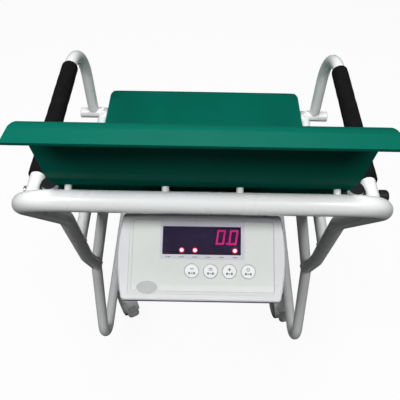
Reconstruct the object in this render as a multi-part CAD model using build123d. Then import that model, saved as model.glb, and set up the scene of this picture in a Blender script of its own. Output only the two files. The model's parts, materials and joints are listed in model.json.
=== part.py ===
from build123d import *
import math
import os

# Wheeled patient chair scale. The chair faces +Y, +X is its left-to-right axis seen from
# behind, +Z is up and the origin is on the floor below the middle of the chair.

# Welded frame, tube centre lines
hoop_tube_radius = 14.0
frame_tube_radius = 12.5
tube_wall = 2.0
rail_y = -305.0
rail_z = 909.0
rail_corner_radius = 66.0
hoop_bend_y = -151.0
hoop_bend_z = 676.0
hoop_low_y = -82.0
hoop_low_z = 449.0
hoop_bend_radius = 87.0
junction_y = -37.0
junction_z = 345.0
base_tube_z = 118.0
rear_bend_y = -148.0
base_bend_radius = 48.0
seat_rail_z = 537.0
seat_rail_front_y = 325.0
front_leg_radius = 60.0
front_leg_foot_y = 365.0
base_tube_front_y = 385.0
rear_cross_y = 38.0
front_cross_y = 275.0
base_rear_cross_y = 144.0
base_front_cross_y = 249.0
plug_flange = 2.5
plug_depth = 12.0
plug_clearance = 0.15
plug_edge_radius = 1.5
cut_margin = 1.0
same_size = 0.01

# Seat shell, one moulded sheet
sheet_thickness = 4.0
seat_gap = 0.3
seat_half_width = 240.0
seat_front_y = 374.0
seat_front_bow = 6.0
seat_corner_radius = 30.0
seat_nose_drop = 10.0
seat_nose_length = 16.0
seat_nose_radius = 8.0
recline_degrees = 36.2
spacer_length = 6.0
spacer_radius = 4.5
spacer_inner_x = 46.0
back_upright_start = 22.0
back_top_z = 1043.0
lip_radius = 18.0
lip_length = 40.0
lip_droop = 4.0
lip_flare_start = 7.0
lip_flare_step = 4.0
seat_bend_radius = 60.0
back_bend_radius = 60.0
seat_screw_head_radius = 6.0
seat_screw_head_height = 2.5
seat_screw_seating = 1.6
seat_screw_x = 150.0
seat_screw_edge_radius = 1.7

# Armrests
arm_z = 757.0
arm_rear_y = -183.0
arm_bend_radius = 112.0
arm_post_y = 291.0
grip_rear_y = -128.0
grip_length = 306.0
grip_radius = 16.5
grip_clearance = 0.2
pivot_y = -159.0
pivot_post_drop = 60.0
pivot_post_head = 18.0
pivot_pin_radius = 5.0
pin_clearance = 0.05
bush_radius = 12.0
bush_gap = 0.2
pin_cap_radius = 8.0
pin_cap_length = 8.0
pin_cap_edge_radius = 3.0
lock_knob_radius = 11.0
lock_knob_length = 14.0
lock_knob_edge_radius = 5.0
rivet_head_radius = 7.5
rivet_head_height = 2.5
rivet_head_edge_radius = 1.5
saddle_pad_thickness = 2.0
saddle_pad_width = 24.0
grip_edge_radius = 3.0

# Widths that follow the seat, each as its distance from the piece that it lies beside
frame_beside_seat = 12.0
base_toe_in = 7.0
bend_toe_in = 10.0
rail_toe_in = 12.0
strut_toe_in = 38.0
caster_inset = 19.0
arm_beside_frame = 25.0
stub_beyond_arm = 30.0
post_inside_arm = 29.0
spacer_inset = 74.0
back_edge_beside_spacer = 15.5
back_flare = 14.5
lip_overhang = 8.0
side_frame_x = seat_half_width + frame_beside_seat
base_frame_x = side_frame_x - base_toe_in
hoop_bend_x = side_frame_x - bend_toe_in
rail_half_width = side_frame_x - rail_toe_in
strut_top_x = side_frame_x - strut_toe_in
caster_x = base_frame_x - caster_inset
arm_x = side_frame_x + arm_beside_frame
stub_end_x = arm_x + stub_beyond_arm
pivot_post_x = arm_x - post_inside_arm
spacer_outer_x = rail_half_width - spacer_inset
back_half_width_low = spacer_outer_x + back_edge_beside_spacer
back_half_width_top = back_half_width_low + back_flare
lip_half_width = back_half_width_top + lip_overhang

# Casters and load cells
wheel_radius = 37.5
wheel_width = 16.0
wheel_gap = 8.0
tyre_depth = 8.0
tyre_edge_radius = 3.6
axle_radius = 4.0
axle_clearance = 0.05
caster_trail = 20.0
rear_caster_y = 50.0
front_caster_y = 343.0
rear_left_caster_turn = 28.0
rear_right_caster_turn = 10.0
front_caster_turn = 20.0
hood_clearance = 2.0
hood_thickness = 3.0
hood_side_overhang = 2.5
fork_web = 6.0
stem_radius = 6.0
stem_clearance = 0.05
swivel_gap = 0.5
swivel_boss_radius = 13.0
boss_height = 12.0
stem_length = 6.0
hood_lower_edge = 8.0
caster_plate_size = 42.0
caster_plate_thickness = 3.0
caster_plate_corner = 3.0
caster_height = 86.0
cell_pad_height = 3.0
cell_pad_length = 24.0
load_cell_height = 16.0
load_cell_width = 22.0
load_cell_length = 84.0
cell_web_hole_radius = 5.0
cell_web_hole_pitch = 12.0
cell_plate_thickness = 4.0
cell_plate_length = 96.0
pedal_thickness = 5.0
pedal_width = 32.0
pedal_length = 24.0
pedal_corner = 9.5
pedal_barrel_radius = 4.0
pedal_pin_radius = 1.5
pedal_pin_clearance = 0.05
pedal_ear_width = 4.0
pedal_ear_gap = 0.4
pedal_angle = 30.0
pedal_slope = 12.0
hub_rim = 5.0
hub_dish = 3.0
hub_boss_radius = 9.0

# Weighing indicator
indicator_tilt = 63.0
indicator_width = 218.0
indicator_top_width = 206.0
indicator_height = 112.0
indicator_depth = 46.0
indicator_wall = 2.6
indicator_corner = 5.0
front_case_depth = 20.0
indicator_top_y = -289.0
indicator_top_z = 866.0
panel_width = 188.0
panel_height = 96.0
panel_thickness = 1.2
window_width = 102.0
window_height = 37.0
window_centre_x = 0.0
window_centre_v = 21.5
window_thickness = 2.0
digit_height = 19.5
digit_width = 11.0
digit_stroke = 2.4
digit_pitch = 16.5
digit_count = 2
lamp_radius = 2.2
lamp_count = 6
lamp_pitch = 17.3
key_radius = 8.8
key_travel = 1.0
key_gap = 0.35
key_pitch = 24.2
key_count = 4
key_centre_x = 24.0
key_centre_v = -18.0
key_proud = 0.7
circuit_board_thickness = 1.6
bracket_width = 156.0
bracket_thickness = 3.0
screw_radius = 3.0
screw_head_height = 2.0
indicator_side_lean = -1.2
case_edge_radius = 3.0
rear_case_edge_radius = 4.0
panel_corner = 3.0
panel_gap = 0.2
case_skin_limit = 6.0
gland_radius = 6.0
gland_reach = 5.2
gland_nut_length = 2.6
gland_x = -54.5
gland_v = -30.0
board_depth = 12.0
display_gap = 0.3
segment_thickness = 0.6
digits_x = 33.0
digits_v = 26.5
digit_slant_degrees = 8.0
point_radius = 1.4
lamp_v = 9.0
key_flange = 1.2
key_edge_radius = 0.4
switch_gap = 0.3
switch_size = 6.0
pillar_radius = 3.0
board_inset = 5.2
pillar_inset = 10.4
bracket_reach = 34.0
bracket_bend_radius = 6.0
bracket_screw_reach = 20.0
bracket_screw_inset = 9.0
junction_box_width = 96.0
junction_box_depth = 58.0
junction_box_height = 30.0
junction_box_corner = 3.0

os.makedirs("parts", exist_ok=True)


def save(shape, name):
    shape.label = name
    export_step(shape, f"parts/{name}.step")


def mirrored(shape):
    return mirror(shape, about=Plane.YZ)


def save_pair(shape, name):
    """Write the right-hand (+X) piece and its mirror image on the left."""
    save(shape, "right_" + name)
    save(mirrored(shape), "left_" + name)


def rod(start, end, radius):
    """A solid round bar between two points."""
    line = Vector(end) - Vector(start)
    plane = Plane(origin=Vector(start), z_dir=line)
    return Solid.make_cylinder(radius, line.length, plane)


def swept(points, radii, section_radius):
    path = FilletPolyline(*points, radius=radii) if len(points) > 2 else Line(*points)
    start = Plane(origin=path @ 0, z_dir=path % 0)
    return sweep(start * Circle(section_radius), path=path)


def tube(points, radii, outer_radius):
    """A bent tube with its real wall."""
    return swept(points, radii, outer_radius) - swept(points, radii, outer_radius - tube_wall)


def box_at(x0, x1, y0, y1, z0, z1):
    return Pos((x0 + x1) / 2, (y0 + y1) / 2, (z0 + z1) / 2) * Box(x1 - x0, y1 - y0, z1 - z0)


# Push hoop: the rail behind the back and its two side tubes, one bent tube
def hoop_points():
    right = [
        (rail_half_width, rail_y, rail_z),
        (hoop_bend_x, hoop_bend_y, hoop_bend_z),
        (side_frame_x, hoop_low_y, hoop_low_z),
        (side_frame_x, junction_y, junction_z),
    ]
    left = [(-x, y, z) for x, y, z in reversed(right)]
    return left + right


def side_tube_centre(height):
    """Where the hoop's right side tube passes a height between its two lower bends."""
    share = (hoop_bend_z - height) / (hoop_bend_z - hoop_low_z)
    x = hoop_bend_x + share * (side_frame_x - hoop_bend_x)
    y = hoop_bend_y + share * (hoop_low_y - hoop_bend_y)
    return (x, y, height)


hoop_radii = [hoop_bend_radius, hoop_bend_radius, rail_corner_radius]
hoop_radii = hoop_radii + hoop_radii[::-1]
hoop_outer = swept(hoop_points(), hoop_radii, hoop_tube_radius)
save(tube(hoop_points(), hoop_radii, hoop_tube_radius), "push_hoop")

# Rear leg and base tube on each side, one bent tube from the junction to the front
leg_points = [
    (side_frame_x, junction_y, junction_z),
    (base_frame_x, rear_bend_y, base_tube_z),
    (base_frame_x, base_tube_front_y, base_tube_z),
]
leg_outer = swept(leg_points, [base_bend_radius], frame_tube_radius)
save_pair(tube(leg_points, [base_bend_radius], frame_tube_radius) - hoop_outer, "rear_leg")

# Seat rail and front leg on each side, one bent tube
seat_rail_points = [
    side_tube_centre(seat_rail_z),
    (side_frame_x, seat_rail_front_y, seat_rail_z),
    (base_frame_x, front_leg_foot_y, base_tube_z),
]
rail_outer = swept(seat_rail_points, [front_leg_radius], frame_tube_radius)
seat_rail = tube(seat_rail_points, [front_leg_radius], frame_tube_radius)
save_pair(seat_rail - hoop_outer - leg_outer, "seat_rail")


# Cross tubes between the sides, under the seat and on the base
def seat_rail_x(y):
    """Where the right seat rail's centre line passes a place along its straight part."""
    start_x, start_y, _ = side_tube_centre(seat_rail_z)
    share = (y - start_y) / (seat_rail_front_y - start_y)
    return start_x + share * (side_frame_x - start_x)


def cross_tube(x, y, z, neighbour):
    points = [(-x, y, z), (x, y, z)]
    return tube(points, [], frame_tube_radius) - neighbour - mirrored(neighbour)


def seat_cross_outer(y):
    start = (-side_frame_x, y, seat_rail_z)
    return rod(start, (side_frame_x, y, seat_rail_z), frame_tube_radius)


seat_crosses = [
    cross_tube(seat_rail_x(y), y, seat_rail_z, rail_outer) for y in (rear_cross_y, front_cross_y)
]
save(Compound(children=seat_crosses), "seat_cross_tubes")
base_crosses = [
    cross_tube(base_frame_x, y, base_tube_z, leg_outer)
    for y in (base_rear_cross_y, base_front_cross_y)
]
save(Compound(children=base_crosses), "base_cross_tubes")

# Struts from the rear junctions up to the rear seat cross tube
strut_points = [(side_frame_x, junction_y, junction_z), (strut_top_x, rear_cross_y, seat_rail_z)]
strut = tube(strut_points, [], frame_tube_radius) - hoop_outer - leg_outer
strut = strut - seat_cross_outer(rear_cross_y)
strut = strut.solids().sort_by(SortBy.VOLUME)[-1]
save(Compound(children=[strut, mirrored(strut)]), "rear_struts")


# Black plugs that close open tube ends
def tube_plug(outer_radius, centre, direction):
    plane = Plane(origin=centre, z_dir=direction)
    flange = plane * Pos(0, 0, plug_flange / 2) * Cylinder(outer_radius, plug_flange)
    outer_edge = flange.edges().sort_by(lambda e: (e.center() - centre).dot(direction))[-1:]
    flange = fillet(outer_edge, plug_edge_radius)
    inner = outer_radius - tube_wall - plug_clearance
    return flange + plane * Pos(0, 0, -plug_depth / 2) * Cylinder(inner, plug_depth)


base_ends = [Vector(side * base_frame_x, base_tube_front_y, base_tube_z) for side in (-1, 1)]
base_plugs = [tube_plug(frame_tube_radius, end, Vector(0, 1, 0)) for end in base_ends]

# Armrest stubs on the front of the seat rails, where the armrests come to rest
stub = tube(
    [(seat_rail_x(arm_post_y), arm_post_y, seat_rail_z), (stub_end_x, arm_post_y, seat_rail_z)],
    [],
    frame_tube_radius,
)
stub = (stub - rail_outer).solids().sort_by(SortBy.VOLUME)[-1]
save(Compound(children=[stub, mirrored(stub)]), "arm_stubs")
stub_plug = tube_plug(frame_tube_radius, Vector(stub_end_x, arm_post_y, seat_rail_z), Vector(1, 0, 0))
save(Compound(children=[stub_plug, mirrored(stub_plug)] + base_plugs), "tube_plugs")


# Rubber saddle pad over the top of each stub
def stub_cylinder(radius, length):
    centre = Pos(arm_x, arm_post_y, seat_rail_z) * Rot(0, 90, 0)
    return centre * Cylinder(radius, length)


pad_outer_radius = frame_tube_radius + saddle_pad_thickness
pad_ring = stub_cylinder(pad_outer_radius, saddle_pad_width)
pad_ring = pad_ring - stub_cylinder(frame_tube_radius, saddle_pad_width)
pad_reach = pad_outer_radius + cut_margin
pad_top = box_at(
    arm_x - saddle_pad_width,
    arm_x + saddle_pad_width,
    arm_post_y - pad_reach,
    arm_post_y + pad_reach,
    seat_rail_z,
    seat_rail_z + pad_reach,
)
saddle_pad = pad_ring & pad_top
save(Compound(children=[saddle_pad, mirrored(saddle_pad)]), "saddle_pads")

# Pivot posts on the hoop's side tubes, closed by plugs, with a pin through each
pivot_z = arm_z
post_top_z = pivot_z + pivot_post_head
pivot_post = tube(
    [(pivot_post_x, pivot_y, post_top_z), (pivot_post_x, pivot_y, pivot_z - pivot_post_drop)],
    [],
    frame_tube_radius,
)
pin_start_x = pivot_post_x - frame_tube_radius - pin_cap_length / 2
pin_end_x = arm_x + frame_tube_radius + pin_cap_length / 2
outer_start_x = arm_x + frame_tube_radius + bush_gap
rivet_end_x = outer_start_x + rivet_head_height
pivot_pin = rod((pin_start_x, pivot_y, pivot_z), (pin_end_x, pivot_y, pivot_z), pivot_pin_radius)
rivet_head = rod((outer_start_x, pivot_y, pivot_z), (rivet_end_x, pivot_y, pivot_z), rivet_head_radius)
rivet_head = fillet(rivet_head.edges().sort_by(Axis.X)[-1:], rivet_head_edge_radius)
riveted_pin = rod((pin_start_x, pivot_y, pivot_z), (rivet_end_x, pivot_y, pivot_z), pivot_pin_radius)
riveted_pin = riveted_pin + rivet_head
pivot_post = (pivot_post - hoop_outer - pivot_pin).solids().sort_by(SortBy.VOLUME)[-1]
save(Compound(children=[pivot_post, mirrored(pivot_post)]), "pivot_posts")
save(Compound(children=[pivot_pin, mirrored(riveted_pin)]), "pivot_pins")
post_plug = tube_plug(frame_tube_radius, Vector(pivot_post_x, pivot_y, post_top_z), Vector(0, 0, 1))
post_plug = post_plug - pivot_pin
save(Compound(children=[post_plug, mirrored(post_plug)]), "pivot_post_plugs")

# Nylon bushes between the posts and the armrests
bush_start_x = pivot_post_x + frame_tube_radius
bush_end_x = arm_x - frame_tube_radius - bush_gap
bush = rod((bush_start_x, pivot_y, pivot_z), (bush_end_x, pivot_y, pivot_z), bush_radius) - pivot_pin
save(Compound(children=[bush, mirrored(bush)]), "pivot_bushes")

# Round caps on the pins' inner ends and a lock knob on the right outer end
inner_end_x = pivot_post_x - frame_tube_radius


def pin_cap(start_x, length, radius, edge_radius, sign):
    start = (start_x, pivot_y, pivot_z)
    end = (start_x + sign * length, pivot_y, pivot_z)
    cap = rod(start, end, radius) - pivot_pin
    circles = cap.edges().filter_by(GeomType.CIRCLE).sort_by(lambda e: -sign * e.center().X)
    outer_edge = [e for e in circles[:2] if abs(e.radius - radius) < same_size]
    return fillet(outer_edge[:1], edge_radius)


inner_cap = pin_cap(inner_end_x, pin_cap_length, pin_cap_radius, pin_cap_edge_radius, -1)
save(Compound(children=[inner_cap, mirrored(inner_cap)]), "pin_caps")
lock_knob = pin_cap(outer_start_x, lock_knob_length, lock_knob_radius, lock_knob_edge_radius, 1)
save(lock_knob, "right_lock_knob")

# Armrests: one bent tube each, with a foam grip and a plug in the rear end
arm_foot_z = seat_rail_z + frame_tube_radius
arm_points = [
    (arm_x, arm_rear_y, arm_z),
    (arm_x, arm_post_y, arm_z),
    (arm_x, arm_post_y, arm_foot_z),
]
pin_bore = rod(
    (pin_start_x, pivot_y, pivot_z),
    (pin_end_x, pivot_y, pivot_z),
    pivot_pin_radius + pin_clearance,
)
armrest = tube(arm_points, [arm_bend_radius], frame_tube_radius)
armrest = armrest - pin_bore - stub_cylinder(pad_outer_radius + seat_gap, saddle_pad_width * 3)
armrest = armrest.solids().sort_by(SortBy.VOLUME)[-1]
save_pair(armrest, "armrest")

grip_ends = [(arm_x, grip_rear_y, arm_z), (arm_x, grip_rear_y + grip_length, arm_z)]
grip = rod(grip_ends[0], grip_ends[1], grip_radius)
grip = fillet(grip.edges().filter_by(GeomType.CIRCLE), grip_edge_radius)
grip = grip - rod(grip_ends[0], grip_ends[1], frame_tube_radius + grip_clearance)
save_pair(grip, "arm_grip")
arm_plug = tube_plug(frame_tube_radius, Vector(arm_x, arm_rear_y, arm_z), Vector(0, -1, 0)) - pin_bore
save_pair(arm_plug, "arm_plug")


# Seat shell: seat, reclined back and a lip curled back over the rail, one sheet
recline = math.radians(recline_degrees)
half_sheet = sheet_thickness / 2
seat_mid_z = seat_rail_z + frame_tube_radius + seat_gap + half_sheet
rail_offset = hoop_tube_radius + spacer_length + half_sheet
rail_contact_y = rail_y + rail_offset * math.cos(recline)
rail_contact_z = rail_z + rail_offset * math.sin(recline)


def back_line(height):
    """The middle of the reclined back at a height."""
    return rail_contact_y - (height - rail_contact_z) * math.tan(recline)


upright_z = rail_contact_z + back_upright_start * math.cos(recline)
upright_y = back_line(upright_z)
profile_points = [
    (0, seat_front_y - half_sheet, seat_mid_z - seat_nose_drop),
    (0, seat_front_y - seat_nose_length, seat_mid_z),
    (0, back_line(seat_mid_z), seat_mid_z),
    (0, upright_y, upright_z),
    (0, upright_y, back_top_z),
    (0, upright_y - lip_length, back_top_z - lip_droop),
]
profile_radii = [seat_nose_radius, seat_bend_radius, back_bend_radius, lip_radius]
profile_path = FilletPolyline(*profile_points, radius=profile_radii)
sheet_start = Plane(origin=profile_path @ 0, z_dir=profile_path % 0, x_dir=(1, 0, 0))
sheet = sweep(sheet_start * Rectangle(2 * seat_half_width, sheet_thickness), path=profile_path)


# Outline of the sheet: seen from the rear for the back, from above for the seat and lip
def half_and_mirror(points):
    whole = points + [(-a, b) for a, b in reversed(points) if a > 0]
    return make_face(Polyline(*whole, close=True))


def outline_prism(face, plane):
    return extrude(plane * face, amount=2 * back_top_z, both=True)


lip_start_z = back_top_z - lip_radius
above_sheet_z = back_top_z + sheet_thickness
rear_outline = half_and_mirror([
    (seat_half_width, 0),
    (seat_half_width, seat_mid_z + seat_bend_radius / 2),
    (back_half_width_low, rail_contact_z),
    (back_half_width_top, lip_start_z),
    (lip_half_width, lip_start_z),
    (lip_half_width, above_sheet_z),
])
seat_side_end_y = seat_front_y - seat_front_bow
seat_outline = half_and_mirror([
    (seat_half_width, rail_y),
    (seat_half_width, seat_side_end_y),
    (0, seat_front_y),
])
seat_corners = [v for v in seat_outline.vertices() if abs(v.Y - seat_side_end_y) < same_size]
seat_outline = fillet(seat_corners, seat_corner_radius)
lip_edge_y = upright_y - lip_length
lip_outline = half_and_mirror([
    (back_half_width_top, upright_y + sheet_thickness),
    (back_half_width_top, upright_y - lip_flare_start),
    (back_half_width_top + lip_flare_step, upright_y - lip_radius),
    (lip_half_width, lip_edge_y),
])
shell = sheet & outline_prism(rear_outline, Plane.XZ)
seat_zone = Pos(0, 0, seat_mid_z) * Box(3 * seat_half_width, 3 * seat_front_y, 4 * seat_nose_drop)
lip_zone = box_at(-seat_half_width, seat_half_width, 2 * rail_y, 0, lip_start_z, 2 * lip_start_z)
seat_trim = seat_zone - outline_prism(seat_outline, Plane.XY)
seat_trim = seat_trim & box_at(-seat_front_y, seat_front_y, 0, 2 * seat_front_y, 0, lip_start_z)
lip_trim = lip_zone - outline_prism(lip_outline, Plane.XY)
shell = shell - seat_trim - lip_trim
save(shell, "seat_shell")

# Spacers between the rail and the back, with their bolts
contact_direction = Vector(0, math.cos(recline), math.sin(recline))
spacer_places = [-spacer_outer_x, -spacer_inner_x, spacer_inner_x, spacer_outer_x]


def spacer(x):
    rail_centre = Vector(x, rail_y, rail_z)
    surface_gap = hoop_tube_radius + spacer_length
    bar = rod(rail_centre, rail_centre + contact_direction * surface_gap, spacer_radius)
    return bar - hoop_outer


save(Compound(children=[spacer(x) for x in spacer_places]), "back_spacers")


# Round-head screws that hold the seat, their heads seated on the undersides of the cross tubes
def seat_screw(x, y):
    bottom = seat_rail_z - frame_tube_radius - seat_screw_head_height
    top = seat_rail_z - frame_tube_radius + seat_screw_seating
    head = Cylinder(seat_screw_head_radius, top - bottom)
    head = Pos(x, y, (bottom + top) / 2) * head
    head = fillet(head.edges().sort_by(Axis.Z)[:1], seat_screw_edge_radius)
    return head - seat_cross_outer(y)


screw_places = [(side * seat_screw_x, y) for side in (-1, 1) for y in (rear_cross_y, front_cross_y)]
save(Compound(children=[seat_screw(x, y) for x, y in screw_places]), "seat_screws")


# Casters: the frame is carried on four load cells, each on the plate of a swivel caster
def cell_directions():
    """Side, y of the caster and which way the load cell runs from it."""
    ends = ((rear_caster_y, 1), (front_caster_y, -1))
    return [(side, y, way) for side in (-1, 1) for y, way in ends]


cell_bottom_z = caster_height + cell_pad_height
cell_top_z = cell_bottom_z + load_cell_height
bracket_bottom_z = cell_top_z + cell_pad_height
cell_end = cell_pad_length / 2


def along(y, way, near, far):
    """A y range measured from the caster towards the middle of the chair."""
    return sorted((y + way * near, y + way * far))


def cell_block(side, y, way, near, far, half_width, z0, z1):
    y0, y1 = along(y, way, near, far)
    x = side * caster_x
    return box_at(x - half_width, x + half_width, y0, y1, z0, z1)


def load_cell(side, y, way):
    far = load_cell_length - cell_end
    body = cell_block(side, y, way, -cell_end, far, load_cell_width / 2, cell_bottom_z, cell_top_z)
    middle = (far - cell_end) / 2
    for offset in (-cell_web_hole_pitch / 2, cell_web_hole_pitch / 2):
        hole_y = y + way * (middle + offset)
        centre = Pos(side * caster_x, hole_y, (cell_bottom_z + cell_top_z) / 2)
        body = body - centre * Rot(0, 90, 0) * Cylinder(cell_web_hole_radius, 2 * load_cell_width)
    return body


def cell_bracket(side, y, way):
    """Plate welded to the base tube, with the pad that the fixed end is bolted to."""
    far = load_cell_length - cell_end
    plate = box_at(
        *sorted((side * (caster_x - load_cell_width / 2), side * base_frame_x)),
        *along(y, way, far - cell_plate_length, far),
        bracket_bottom_z,
        bracket_bottom_z + cell_plate_thickness,
    )
    pad = cell_block(
        side, y, way, far - cell_pad_length, far, load_cell_width / 2, cell_top_z, bracket_bottom_z
    )
    return plate + pad - leg_outer - mirrored(leg_outer)


cells = [load_cell(*place) for place in cell_directions()]
save(Compound(children=cells), "load_cells")
save(Compound(children=[cell_bracket(*place) for place in cell_directions()]), "load_cell_brackets")


def caster_plate(side, y, way):
    """Fixed plate of one caster, its pad under the load cell and the swivel stem."""
    x = side * caster_x
    half = caster_plate_size / 2
    plate_bottom = caster_height - caster_plate_thickness
    plate = box_at(x - half, x + half, y - half, y + half, plate_bottom, caster_height)
    plate = fillet(plate.edges().filter_by(Axis.Z), caster_plate_corner)
    pad = cell_block(side, y, way, -cell_end, cell_end, load_cell_width / 2, caster_height, cell_bottom_z)
    stem = rod((x, y, plate_bottom - stem_length), (x, y, plate_bottom), stem_radius)
    return plate + pad + stem


save(Compound(children=[caster_plate(*place) for place in cell_directions()]), "caster_plates")

# One caster below its plate, about its swivel axis, trailing towards -Y before it is turned
fork_top_z = caster_height - caster_plate_thickness - swivel_gap
hood_inner = wheel_radius + hood_clearance
hood_outer = hood_inner + hood_thickness
pair_half = wheel_gap / 2 + wheel_width
hood_half = pair_half + hood_side_overhang
axle_y = -caster_trail
pedal_reach = hood_outer + pedal_barrel_radius + pedal_ear_gap
pedal_y = axle_y - pedal_reach * math.cos(math.radians(pedal_angle))
pedal_z = wheel_radius + pedal_reach * math.sin(math.radians(pedal_angle))
pedal_room_y = (pedal_y - pedal_length, axle_y)
ear_x = pedal_width / 2 - pedal_ear_width / 2 - pedal_ear_gap


def wheel_cylinder(radius, half_width):
    return Pos(0, axle_y, wheel_radius) * Rot(0, 90, 0) * Cylinder(radius, 2 * half_width)


def above(height):
    """All the room of one caster above a height."""
    room = caster_height * 2
    return box_at(-hood_half, hood_half, -room, room, height, room)


def caster_fork():
    """Hood over both wheels, the web between them, the swivel boss, axle and pedal ears."""
    hood = wheel_cylinder(hood_outer, hood_half) - wheel_cylinder(hood_inner, hood_half)
    hood = hood & above(wheel_radius + hood_lower_edge)
    web = wheel_cylinder(hood_outer - hood_thickness / 2, fork_web / 2)
    web = web & above(wheel_radius - 2 * axle_radius)
    boss = rod((0, 0, fork_top_z - boss_height), (0, 0, fork_top_z), swivel_boss_radius)
    bore = rod(
        (0, 0, fork_top_z - stem_length - swivel_gap),
        (0, 0, fork_top_z),
        stem_radius + stem_clearance,
    )
    axle = wheel_cylinder(axle_radius, pair_half)
    ears = rod((-ear_x, pedal_y, pedal_z), (ear_x, pedal_y, pedal_z), pedal_pin_radius)
    for side in (-1, 1):
        near_x = side * (ear_x - pedal_ear_width / 2)
        far_x = side * (ear_x + pedal_ear_width / 2)
        x0, x1 = sorted((near_x, far_x))
        ears = ears + rod((x0, pedal_y, pedal_z), (x1, pedal_y, pedal_z), pedal_barrel_radius)
        ears = ears + box_at(x0, x1, pedal_y, axle_y, pedal_z - pedal_barrel_radius, pedal_z)
    wheels_room = wheel_cylinder(hood_inner, hood_half)
    web_slot = wheel_cylinder(hood_outer, fork_web / 2)
    ears = ears - (wheels_room - web_slot)
    return hood + web + (boss - wheels_room) + axle + ears - bore


def wheel_ring(side, outer, inner):
    """A ring on the axle, on one side of the fork's web."""
    middle = side * (wheel_gap / 2 + wheel_width / 2)
    centre = Pos(middle, axle_y, wheel_radius) * Rot(0, 90, 0)
    return centre * Cylinder(outer, wheel_width) - centre * Cylinder(inner, wheel_width)


def rounded_rims(ring, rim_radius, fillet_radius):
    circles = ring.edges().filter_by(GeomType.CIRCLE)
    rims = [e for e in circles if abs(e.radius - rim_radius) < same_size]
    return fillet(rims, fillet_radius)


def caster_hubs():
    hub_radius = wheel_radius - tyre_depth
    bore_radius = axle_radius + axle_clearance
    hubs = []
    for side in (-1, 1):
        hub = wheel_ring(side, hub_radius, bore_radius)
        dish_x = side * (wheel_gap / 2 + wheel_width)
        dish = Pos(dish_x, axle_y, wheel_radius) * Rot(0, 90, 0)
        ring = Cylinder(hub_radius - hub_rim, 2 * hub_dish) - Cylinder(hub_boss_radius, 2 * hub_dish)
        hubs.append(hub - dish * ring)
    return Compound(children=hubs)


def caster_tyres():
    tyres = []
    for side in (-1, 1):
        ring = wheel_ring(side, wheel_radius, wheel_radius - tyre_depth)
        tyres.append(rounded_rims(ring, wheel_radius, tyre_edge_radius))
    return Compound(children=tyres)


def caster_pedal():
    """Brake pedal behind the hood, on a barrel round its pin."""
    barrel_half = ear_x - pedal_ear_width / 2 - pedal_ear_gap
    plate = box_at(
        -pedal_width / 2,
        pedal_width / 2,
        pedal_y - pedal_length,
        pedal_y,
        pedal_z - pedal_thickness / 2,
        pedal_z + pedal_thickness / 2,
    )
    plate = fillet(plate.edges().filter_by(Axis.Z).sort_by(Axis.Y)[:2], pedal_corner)
    pivot = Pos(0, pedal_y, pedal_z)
    plate = pivot * Rot(pedal_slope, 0, 0) * pivot.inverse() * plate
    pin_line = ((-pedal_width, pedal_y, pedal_z), (pedal_width, pedal_y, pedal_z))
    ear_room = rod(*pin_line, pedal_barrel_radius + 2 * pedal_ear_gap)
    ear_room = ear_room - box_at(-barrel_half, barrel_half, *pedal_room_y, 0, caster_height)
    barrel_ends = ((-barrel_half, pedal_y, pedal_z), (barrel_half, pedal_y, pedal_z))
    barrel = rod(*barrel_ends, pedal_barrel_radius)
    bore = rod(*pin_line, pedal_pin_radius + pedal_pin_clearance)
    return (plate - ear_room) + barrel - bore


caster_pieces = {
    "caster_fork": caster_fork(),
    "caster_hubs": caster_hubs(),
    "caster_tyres": caster_tyres(),
    "caster_pedal": caster_pedal(),
}
caster_places = {
    "rear_right": (caster_x, rear_caster_y, rear_right_caster_turn),
    "rear_left": (-caster_x, rear_caster_y, rear_left_caster_turn),
    "front_right": (caster_x, front_caster_y, front_caster_turn),
    "front_left": (-caster_x, front_caster_y, -front_caster_turn),
}
for place_name, (place_x, place_y, turn) in caster_places.items():
    for piece_name, piece in caster_pieces.items():
        placed = Pos(place_x, place_y, 0) * Rot(0, 0, turn) * piece
        save(placed, f"{place_name}_{piece_name}")


# Weighing indicator under the rail. Its own frame: X right, Y up the face, Z out of the face.
tilt = math.radians(indicator_tilt)
face_normal = Vector(0, -math.cos(tilt), math.sin(tilt))
face_up = Vector(0, math.sin(tilt), math.cos(tilt))
face_top = Vector(0, indicator_top_y, indicator_top_z)
face_centre = face_top - face_up * (indicator_height / 2)
face_plane = Plane(origin=face_centre, x_dir=(1, 0, 0), z_dir=face_normal)
half_height = indicator_height / 2
split_depth = -front_case_depth


def placed_on_face(shape):
    return face_plane * shape


def case_outline(inset):
    """The case seen from the front, widest at the middle of its bulging sides."""
    top = indicator_top_width / 2 - inset
    middle = indicator_width / 2 - inset
    upper = half_height - inset
    right = ThreePointArc((top + indicator_side_lean, -upper), (middle, 0), (top, upper))
    left = ThreePointArc((-top, upper), (-middle, 0), (-top - indicator_side_lean, -upper))
    across = Line((top, upper), (-top, upper))
    under = Line((-top - indicator_side_lean, -upper), (top + indicator_side_lean, -upper))
    face = make_face([right, across, left, under])
    return fillet(face.vertices(), indicator_corner - inset)


def case_block(inset, low, high):
    return Pos(0, 0, low) * extrude(case_outline(inset), amount=high - low)


def face_box(width, height, x, v, low, high):
    return Pos(x, v, (low + high) / 2) * Box(width, height, high - low)


# Front shell, with its recess for the panel, the display opening and the key holes
key_places = [key_centre_x + (i - (key_count - 1) / 2) * key_pitch for i in range(key_count)]
front_case = case_block(0, split_depth, 0)
front_case = fillet(front_case.edges().group_by(Axis.Z)[-1], case_edge_radius)
front_case = front_case - case_block(indicator_wall, split_depth - cut_margin, -indicator_wall)
panel_room = face_box(panel_width, panel_height, 0, 0, -panel_thickness, indicator_wall)
panel_room = fillet(panel_room.edges().filter_by(Axis.Z), panel_corner)
front_case = front_case - panel_room
window_room = face_box(
    window_width,
    window_height,
    window_centre_x,
    window_centre_v,
    -case_skin_limit,
    case_skin_limit,
)
front_case = front_case - window_room


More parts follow.
